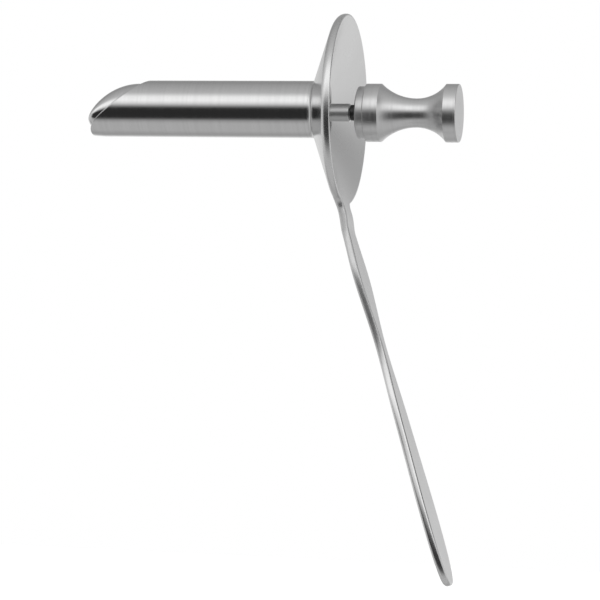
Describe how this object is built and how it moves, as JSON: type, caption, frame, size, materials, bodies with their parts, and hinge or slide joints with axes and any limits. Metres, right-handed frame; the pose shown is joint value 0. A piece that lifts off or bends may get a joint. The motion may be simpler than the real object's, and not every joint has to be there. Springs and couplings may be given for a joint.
{
  "type": "anoscope",
  "caption": "Bevelled tube on a dished flange with a long flat handle, and a round-nosed obturator with a turned knob that slides in the tube.",
  "frame": {"origin": "on the tube's axis, where the tube's outside meets the distal face of the flange", "axes": "-X along the tube to its tip, +X to the knob, -Z down the handle, Y across the handle"},
  "size_m": [0.1529, 0.0746, 0.2209],
  "materials": {
    "polished_steel": "polished",
    "satin_steel": "satin"
  },
  "bodies": {
    "sheath": {"barrel_tube": "polished_steel", "flange_handle": "satin_steel", "braze_ring": "polished_steel"},
    "obturator": {"obturator_head": "polished_steel", "obturator_stem": "polished_steel", "grip_knob": "satin_steel"}
  },
  "joints": [
    {"name": "obturator_slide", "type": "slide", "parent": "sheath", "child": "obturator", "axis": [1, 0, 0], "range_m": [0, 0.11]}
  ]
}
